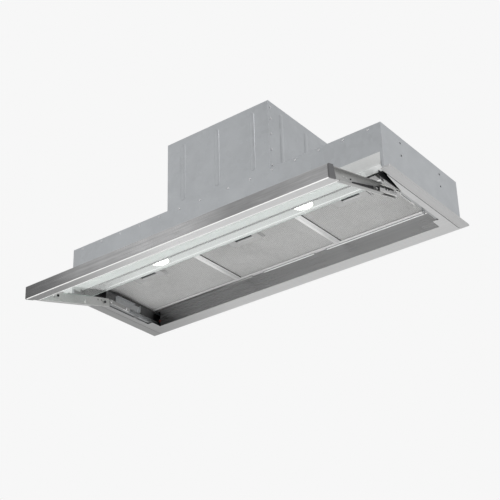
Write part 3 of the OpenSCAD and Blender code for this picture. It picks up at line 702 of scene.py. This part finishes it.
for s, side in ((-1, "left"), (1, "right")):
    c = (200.0 * s, 53.0, 0.0)
    lens = [(0, 33.2), (23.9, 33.2), (23.95, 31.2), (23.2, 30.75)]
    for i in range(1, 9):
        r = 23.2 * (1 - i / 8)
        lens.append((r, 30.42 + 0.33 * (r / 23.2) ** 2))
    Part().add(lathe(lens, 72), Matrix.Translation(c)).make("lamp_lens_" + side, M_LENS, "housing", "lens",
                                                           ("lamp_lenses",) if s < 0 else (), smooth=50)
    ring = rounded([(24.15, 30.1), (27.25, 30.1), (27.25, 30.9), (25.1, 30.9), (25.1, 36.6), (24.15, 36.6)],
                   [0.35, 0.38, 0.1, 0.15, 0.3, 0.3], 4)
    Part().add(lathe(ring, 96), Matrix.Translation(c)).make("lamp_ring_" + side, M_RING, "housing", "stainless",
                                                           ("lamp_bezels",) if s < 0 else (), smooth=40)

# ------------------------------------------------------------------ filters

def frame_profile():
    """C-section of folded sheet: lower flange with a hemmed inner edge, outer wall, upper flange."""
    z0, z1, t = 46.5, 55.5, 0.9
    return [(0.9, z0), (7.5, z0), (7.85, z0 + 0.25), (8.0, z0 + 0.8), (7.85, z0 + 1.35), (7.5, z0 + 1.6),
            (6.2, z0 + 1.6), (6.2, z0 + t), (t + 0.1, z0 + t), (t, z0 + t + 0.3), (t, z1 - t - 0.3), (t + 0.2, z1 - t),
            (6.2, z1 - t), (6.2, z1 - 1.6), (7.6, z1 - 1.6), (8.0, z1 - 0.8), (7.6, z1), (0.9, z1),
            (0.3, z1 - 0.25), (0.0, z1 - 0.9), (0.0, z0 + 0.9), (0.25, z0 + 0.3)]


def strands(cx, z, wide=1.05, thick=0.42, px=8.0, py=4.3, lean=0.5):
    """Expanded metal: slit and stretched sheet, one slanted ribbon per strand."""
    x0, x1, y0, y1 = cx - 136.9, cx + 136.9, 102.6, 277.5
    nx, ny = int((x1 - x0) / px), int((y1 - y0) / py)
    ox, oy = (x0 + x1 - nx * px) / 2, (y0 + y1 - ny * py) / 2
    starts, ends = [], []
    for j in range(ny):
        for i in range(nx + 1):
            a = (ox + i * px, oy + j * py)
            for dx in (-px / 2, px / 2):
                m = (a[0] + dx, a[1] + py / 2)
                if x0 - 0.1 <= m[0] <= x1 + 0.1:
                    starts.append(a)
                    ends.append(m)
                    if j < ny:
                        starts.append(m)
                        ends.append((a[0], a[1] + py))
    a, b = np.array(starts), np.array(ends)
    d = b - a
    L = np.linalg.norm(d, axis=1, keepdims=True)
    d = d / L
    a, b = a - d * 0.35, b + d * 0.35
    nrm = np.stack([-d[:, 1], d[:, 0]], 1)
    flip = np.sign(nrm[:, 1:2])
    nrm = nrm * flip
    c, s = math.cos(lean), math.sin(lean)
    verts = np.zeros((len(a), 8, 3))
    for e, p in enumerate((a, b)):
        for k, (w, h) in enumerate(((-1, -1), (1, -1), (1, 1), (-1, 1))):
            off = w * wide / 2 * c - h * thick / 2 * s
            hh = w * wide / 2 * s + h * thick / 2 * c
            verts[:, e * 4 + k, :2] = p + nrm * off
            verts[:, e * 4 + k, 2] = z + hh
    faces = []
    quads = ((0, 1, 2, 3), (7, 6, 5, 4), (0, 4, 5, 1), (1, 5, 6, 2), (2, 6, 7, 3), (3, 7, 4, 0))
    for i in range(len(a)):
        k = i * 8
        faces.extend(tuple(k + q for q in f) for f in quads)
    return verts.reshape(-1, 3), faces


for side, cx in (("left", -286.2), ("centre", 0.0), ("right", 286.2)):
    body = "filter_" + side
    x0, x1, y0, y1 = cx - 142.7, cx + 142.7, 96.5, 283.6
    p = Part().add(sweep_rect(frame_profile(), x0, x1, y0, y1))
    for ex, ey in ((x0 + 4, y0 + 4), (x1 - 4, y0 + 4), (x0 + 4, y1 - 4), (x1 - 4, y1 - 4)):
        p.add(dome(1.7, 0.42, 16), at((ex, ey, 46.5), (0, 0, -1)))
        p.add(dome(1.7, 0.42, 16), at((ex, ey, 55.5), (0, 0, 1)))
    if side == "centre":
        for s in (-1, 1):
            tab = rounded([(cx + s * 90 - 15, 282.4), (cx + s * 90 + 15, 282.4), (cx + s * 90 + 15, 293), (cx + s * 90 - 15, 293)],
                          [0.3, 0.3, 2.5, 2.5])
            p.add(prism(tab, 46.0, 47.0))
    p.make("filter_rim_" + side, M_ALU, body, "filter_alu", ("filter_frame_" + side,), smooth=34)
    q = Part().add(strands(cx, 48.95)).make("expanded_mesh_" + side, M_MESH, body, "mesh_alu", smooth=20, recalc=False)
    pins = Part()
    for x in (-46, 30):
        pins.add(dome(1.5, 0.5, 16), at((cx + x, 141.0, 46.5), (0, 0, -1)))
    pins.make("latch_rivets_" + side, M_STEEL, "latch_" + side, "filter_alu")
    # Painted shadow: black boxes above the latch slot and beside its clip, standing in for the shade inside them.
    k = Part().add(box((cx - 34, 115.6, 47.78), (cx + 18, 129.9, 48.15)))
    k.add(box((cx + 30.2, 116.8, 47.78), (cx + 34.4, 144.2, 48.15)))
    k.make("latch_shadow_box_" + side, M_BLACK, "latch_" + side, "black_plastic", smooth=30)
    k = Part().add(box((cx - 30.6, 131.0, 46.18), (cx + 14.6, 132.3, 46.52)))
    k.make("latch_lip_" + side, M_ALU, "latch_" + side, "filter_alu", smooth=30, bevel=0.1)
    # Painted shadow: a black strip along the inner side of each filter's left flange, standing in for the shadow gap
    # there.
    k = Part().add(prism(rounded([(x0 + 7.9, y0 + 8.4), (x0 + 8.7, y0 + 8.4), (x0 + 8.7, y1 - 8.4), (x0 + 7.9, y1 - 8.4)], 0.3, 3), 47.5, 50.0))
    k.make("filter_shadow_strip_" + side, M_RUBBER, body, "rubber", smooth=30)

# ------------------------------------------------------------------ visor hardware

heads = Part()
for s in (-1, 1):
    inward = (-s, 0, 0)
    for u, v, t in ((79, 13.6, 0.4), (235, 10.4, 0.9)):
        m = at(vis(394.3 * s, u, v), inward)
        heads.add(screw(3.1, 1.7, t), m)
        heads.add(lathe([(0, 0), (1.55, 0), (1.55, 5.1), (1.2, 5.5), (0, 5.5)], 20), at(vis(394.2 * s, u, v), (s, 0, 0)))
for k, x in enumerate((-320, -160, 0, 160, 320)):
    m = VISOR @ Matrix.Translation((x, 20.5, 24.1))
    heads.add(screw(3.0, 1.8, 0.3 * k), m)
    heads.add(lathe([(0, 18.4), (1.6, 18.4), (1.6, 24.2), (0, 24.2)], 20), VISOR @ Matrix.Translation((x, 20.5, 0)))
heads.make("visor_screw_heads", M_BOLT, "visor", "steel", ("visor_screws",), smooth=30)

pins = Part()
for s in (-1, 1):
    prof = [(0, 0.25), (1.2, 0.25), (1.7, 0.0), (3.9, 0.0), (4.7, 0.35), (5.0, 0.9), (5.0, 1.5), (3.0, 1.5), (3.0, 7.2), (2.6, 7.6), (0, 7.6)]
    m = at(vis(394.4 * s, 170, 8), (s, 0, 0))
    pins.add(lathe(prof, 40), m)
    pins.add(lathe([(0, 6.9), (2.9, 6.9), (2.95, 8.6), (2.5, 9.4), (1.6, 9.8), (0, 9.8)], 28), m)
pins.make("pivot_rivets", M_ARM, "visor", "steel", ("pivot_pins",), smooth=32)

runner, studs = Part(), Part()
for s in (-1, 1):
    # black runner lying in the arm's channel ahead of the pivot
    out = rounded([(82, 6.6), (128, 3.6), (163, 2.4), (163, 13.5), (138, 11.4), (82, 9.0)], [1.1, 1, 1.4, 1.6, 1, 1.1], 5)
    v, f = prism(out, 0.0, 1.5)
    runner.add(([vis(s * (398.25 + c), a, b) for a, b, c in v], f))
    for u in (144, 157):
        runner.add(lathe([(0, 0), (2.2, 0), (2.2, 0.6), (1.7, 0.9), (0, 0.9)], 24), at(vis(s * 399.7, u, 7.2), (s, 0, 0)))
    # rivets of the link, seen on its outer side
    for y, z in ((57.5, -11.5), (68.0, -8.0)):
        studs.add(lathe([(0, 0), (1.9, 0), (1.9, 0.5), (1.5, 0.8), (0, 0.8)], 28), at((403.0 * s, y, z), (s, 0, 0)))
runner.make("arm_runners", M_BLACK, "visor", "black_plastic", smooth=32)
studs.make("link_rivets", M_BOLT, "carriage", "steel", smooth=32)

cover, nose = Part(), Part()
for s in (-1, 1):
    out = rounded([(18.4, 2.6), (26.0, 0.7), (82.0, 0.4), (93.0, 2.0), (103.4, 4.2), (103.4, 15.4), (28.8, 15.4), (28.8, 12.6), (18.4, 12.6)],
                  [1.5, 2, 2, 2, 1, 0.6, 0.6, 0.2, 1.5], 4)
    v, f = prism(out, 411.5, 412.5)
    cover.add(([(s * c, a, b) for a, b, c in v], f))
    lip = [(20.0, 3.8), (26.5, 2.1), (82.0, 1.8), (93.0, 3.4), (102.6, 5.4), (102.6, 6.4), (92.6, 4.4), (82.0, 2.8), (26.8, 3.1), (20.0, 5.0)]
    v, f = prism(lip, 410.3, 411.6)
    cover.add(([(s * c, a, b) for a, b, c in v], f))
    for y in (34, 60, 86):
        cover.add(box((min(s * 410.5, s * 411.6), y, 3.2), (max(s * 410.5, s * 411.6), y + 1.0, 15.2)))
    prof = [(0, 0), (2.5, 0), (2.5, 0.9), (2.1, 1.3), (1.2, 1.5), (0, 1.5)]
    nose.add(lathe(prof, 32), at((403.0 * s, 102.2, 5.8), (s, 0, 0)))
edge = Part()
for x0, x1 in ((-411.0, -107.5), (-72.5, 72.5), (107.5, 411.0)):
    out = rounded([(284.15, 44.0), (285.0, 43.5), (285.0, 46.2), (284.15, 46.2)], [0.3, 0, 0, 0.3], 4)
    v, f = prism(out, x0, x1)
    edge.add(([(c, a, b) for a, b, c in v], f))
edge.make("recess_lip", M_LIP, "housing", "panel_steel", smooth=32)
cover.make("guide_covers", M_BLACK, "housing", "black_plastic", smooth=32)
nose.make("link_end_pins", M_STEEL, "carriage", "steel", smooth=32)

shoes, rivets = Part(), Part()
for s in (-1, 1):
    for y in (112, 166):
        m = at((403.1 * s, y, 8.0), (s, 0, 0), (0, 1, 0))
        outline = rounded([(-7, -3.6), (7, -3.6), (7, 3.6), (-7, 3.6)], 2.0, 6)
        shoes.add(prism(outline, 0.35, 5.3), m)
        inner = rounded([(-6.6, -3.2), (6.6, -3.2), (6.6, 3.2), (-6.6, 3.2)], 1.7, 6)
        shoes.add(prism(inner, 0.0, 0.36), m)
        shoes.add(prism(inner, 5.29, 5.7), m)
        shoes.add(lathe([(0, -2.2), (1.98, -2.2), (1.98, 0.1), (0, 0.1)], 24), m)
        k = at((401.0 * s, y, 8.0), (-s, 0, 0))
        rivets.add(lathe([(0, 0), (3.4, 0), (3.4, 0.5), (3.0, 1.0), (2.0, 1.35), (1.2, 1.4), (0.9, 1.1), (0, 1.05)], 36), k)
shoes.make("guide_shoes", M_WHITE, "carriage", "white_plastic", ("carriage_shoes",), smooth=32)
rivets.make("shoe_rivets", M_STEEL, "carriage", "steel", smooth=32)

hs = Part()
for s in (-1, 1):
    for k, y in enumerate((124, 236, 308)):
        hs.add(screw(3.2, 2.0, 0.5 * k), at((411.3 * s, y, 8.0), (-s, 0, 0)))
        hs.add(lathe([(0, -0.1), (1.6, -0.1), (1.6, 1.1), (0, 1.1)], 18), at((411.3 * s, y, 8.0), (s, 0, 0)))
hs.make("rail_screws", M_STEEL, "housing", "steel", ("housing_screws",), smooth=30)

# ------------------------------------------------------------------ casing details

top = Part()
for x in (-110, -36, 36, 110):
    for y in (16.5, 313.0):
        top.add(screw(4.0, 2.0, 0.2 + x * 0.01), at((x, y, 116.1), (0, 0, 1)))
for x in (-151.5, 151.5):
    for y in (60, 165, 270):
        top.add(screw(4.0, 2.0, 0.4 + y * 0.01), at((x, y, 116.1), (0, 0, 1)))
for a in (45, 135, 225, 315):
    t = math.radians(a)
    top.add(screw(4.2, 2.1, t), at((85 * math.cos(t), 164 + 85 * math.sin(t), 302.4), (0, 0, 1)))
for x in (192, 308):
    for y in (82, 178):
        top.add(screw(3.4, 1.4, 0.7), at((x, y, 153.0), (0, 0, 1)))
for x in (-334, -236):
    top.add(screw(3.6, 1.8, 1.1), at((x, 125, 141.0), (0, 0, 1)))
for s in (-1, 1):
    for x in (330, 120):
        top.add(screw(3.2, 1.4, 0.3), at((s * x, 8.2, 36.0), (0, -1, 0)))
top.make("casing_screws", M_STEEL, "housing", "steel", smooth=30)

rv = Part()
for s in (-1, 1):
    for z in (135, 175, 215, 255, 285):
        rv.add(dome(2.6, 1.1, 20), at((s * 146, 30, z), (s, 0, 0)))
        rv.add(dome(2.6, 1.1, 20), at((s * 146, 300, z), (s, 0, 0)))
    for x in (40, 100, 160, 220, 280, 340, 400):
        rv.add(dome(2.4, 0.9, 20), at((s * x, 9.5, 108), (0, -1, 0)))
        rv.add(dome(2.4, 0.9, 20), at((s * x, 319.6, 108), (0, 1, 0)))
    for y in (40, 120, 210, 290):
        rv.add(dome(2.4, 0.9, 20), at((s * 422, y, 115), (0, 0, 1)))
rv.make("casing_rivets", M_STEEL, "housing", "galvanised", smooth=32)

seams = Part()
for s in (-1, 1):
    for y in (70, 165, 258):
        seams.add(ridge(150, 14, 1.1), at((s * 146, y, 210), (s, 0, 0), (0, 0, 1)))
    seams.add(box((s * 413.5 - 1.0, 13, 115.0), (s * 413.5 + 1.0, 316, 115.7)))
for x in (-100, 0, 100):
    seams.add(ridge(150, 14, 1.1), at((x, 22, 210), (0, -1, 0), (0, 0, 1)))
    seams.add(ridge(150, 14, 1.1), at((x, 308, 210), (0, 1, 0), (0, 0, 1)))
for x in (-390, -215, -185, 360, 395):
    seams.add(ridge(230 if abs(x) > 300 else 260, 10, 1.5), at((x, 165, 115.0), (0, 0, 1), (0, 1, 0)))
for x in (-330, -215, -100, 0, 100, 215, 330):
    seams.add(ridge(70, 8, 1.2), at((x, 319.6, 72), (0, 1, 0), (1, 0, 0)))
seams.make("pressed_beads", M_GALV, "housing", "galvanised", smooth=50)

cb = Part()
for k in range(9):
    y = 96 + k * 8.4
    cb.add(prism(rounded([(214, y), (286, y), (286, y + 3.4), (214, y + 3.4)], 1.6, 4), 152.9, 154.1))
cb.add(sweep_rect([(0, 146.5), (0, 148.0), (-0.7, 148.0), (-0.7, 146.5)], 180.0, 320.0, 70.0, 190.0))
cb.make("control_box_ribs", M_BLACK, "housing", "black_plastic", smooth=40)

dr = Part()
for k in range(11):
    x = -320 + k * 7.0
    dr.add(prism(rounded([(x, 106), (x + 2.4, 106), (x + 2.4, 144), (x, 144)], 1.1, 4), 140.9, 142.3))
dr.make("driver_ribs", M_WHITE, "housing", "white_plastic", smooth=40)

dc = Part()
for z in (312.0, 322.0, 332.0):
    prof = [(74.6, z - 1.2), (75.25, z - 0.5), (75.35, z), (75.25, z + 0.5), (74.6, z + 1.2)]
    dc.add(lathe(prof, 128), Matrix.Translation((0, 164, 0)))
for a in range(0, 360, 45):
    t = math.radians(a + 22.5)
    m = Matrix.Translation((0, 164, 0)) @ Matrix.Rotation(t, 4, "Z")
    gus = [(74.8, 302.3), (86.5, 302.3), (86.5, 303.4), (75.6, 310.5), (74.8, 310.5)]
    v, f = prism(gus, -0.9, 0.9)
    v = [(x, z, y) for x, y, z in v]
    dc.add((v, f), m)
dc.make("collar_ribs", M_BLACK, "housing", "black_plastic", smooth=40)

# ------------------------------------------------------------------ stage, light and camera

def floor_material():
    m = Mat("pale_floor")
    n = m.noise(1.5, 4.0, 0.6)
    m.link(m.ramp(n, [(0.3, (0.83, 0.83, 0.825)), (0.7, (0.88, 0.88, 0.875))]), m.b.inputs["Base Color"])
    m.set(Roughness=0.8)
    return m.m


me = bpy.data.meshes.new("floor")
me.from_pydata([(-40, -40, -3.4), (40, -40, -3.4), (40, 40, -3.4), (-40, 40, -3.4)], [], [(0, 1, 2, 3)])
me.materials.append(floor_material())
floor = bpy.data.objects.new("floor", me)
scene.collection.objects.link(floor)

world = bpy.data.worlds.new("studio")
scene.world = world
world.use_nodes = True
wt = world.node_tree
wt.nodes.clear()
wo = wt.nodes.new("ShaderNodeOutputWorld")
bg = wt.nodes.new("ShaderNodeBackground")
tc = wt.nodes.new("ShaderNodeTexCoord")
sep = wt.nodes.new("ShaderNodeSeparateXYZ")
mr = wt.nodes.new("ShaderNodeMapRange")
mr.interpolation_type = "SMOOTHSTEP"
mr.inputs["From Min"].default_value = -0.75
mr.inputs["From Max"].default_value = 0.45
mr.inputs["To Min"].default_value = 0.46
mr.inputs["To Max"].default_value = 0.93
wt.links.new(tc.outputs["Generated"], sep.inputs[0])
wt.links.new(sep.outputs["Y"], mr.inputs["Value"])
mx = wt.nodes.new("ShaderNodeMapRange")
mx.interpolation_type = "SMOOTHSTEP"
mx.inputs["From Min"].default_value = 0.05
mx.inputs["From Max"].default_value = 0.9
mx.inputs["To Min"].default_value = 1.0
mx.inputs["To Max"].default_value = 0.55
mul = wt.nodes.new("ShaderNodeMath")
mul.operation = "MULTIPLY"
wt.links.new(sep.outputs["X"], mx.inputs["Value"])
wt.links.new(mr.outputs[0], mul.inputs[0])
wt.links.new(mx.outputs[0], mul.inputs[1])
wt.links.new(mul.outputs[0], bg.inputs["Color"])
wt.links.new(bg.outputs[0], wo.inputs[0])


def area(name, loc, target, size, power, colour=(1, 1, 1)):
    li = bpy.data.lights.new(name, "AREA")
    li.shape = "RECTANGLE"
    li.size, li.size_y = size
    li.energy = power
    li.color = colour
    ob = bpy.data.objects.new(name, li)
    ob.location = loc
    ob.rotation_mode = "QUATERNION"
    ob.rotation_quaternion = (Vector(target) - Vector(loc)).to_track_quat("-Z", "Y")
    scene.collection.objects.link(ob)
    return ob


area("key", (1.6, -2.2, 2.2), (0, -0.2, 0.1), (1.8, 1.8), 24)
area("front", (-1.45, -2.25, 1.15), (0, -0.45, -0.05), (1.3, 1.3), 2.2)
area("below", (0.5, -0.6, -2.6), (0, -0.2, 0.0), (2.4, 2.4), 48)
area("back", (-1.8, 2.4, 1.8), (0, 0, 0.1), (2.0, 2.0), 24)

yaw, pitch, roll = (math.radians(x) for x in (36.913, 27.593, -1.625))
fwd = Vector((-math.sin(yaw) * math.cos(pitch), math.cos(yaw) * math.cos(pitch), math.sin(pitch)))
right = Vector((math.cos(yaw), math.sin(yaw), 0.0))
up = right.cross(fwd)
r2 = right * math.cos(roll) + up * math.sin(roll)
u2 = -right * math.sin(roll) + up * math.cos(roll)
cam = bpy.data.cameras.new("camera")
cam.lens = 87.17
cam.sensor_width = 36.0
cam.clip_start, cam.clip_end = 0.05, 200.0
co = bpy.data.objects.new("camera", cam)
pos = Vector((1.439757, -2.101850, -1.236553))
co.matrix_world = Matrix((
    (r2.x, u2.x, -fwd.x, pos.x), (r2.y, u2.y, -fwd.y, pos.y), (r2.z, u2.z, -fwd.z, pos.z), (0, 0, 0, 1)))
scene.collection.objects.link(co)
scene.camera = co

scene.view_settings.view_transform = "Standard"
scene.view_settings.look = "None"
scene.view_settings.exposure = 0.0
scene.view_settings.gamma = 1.0
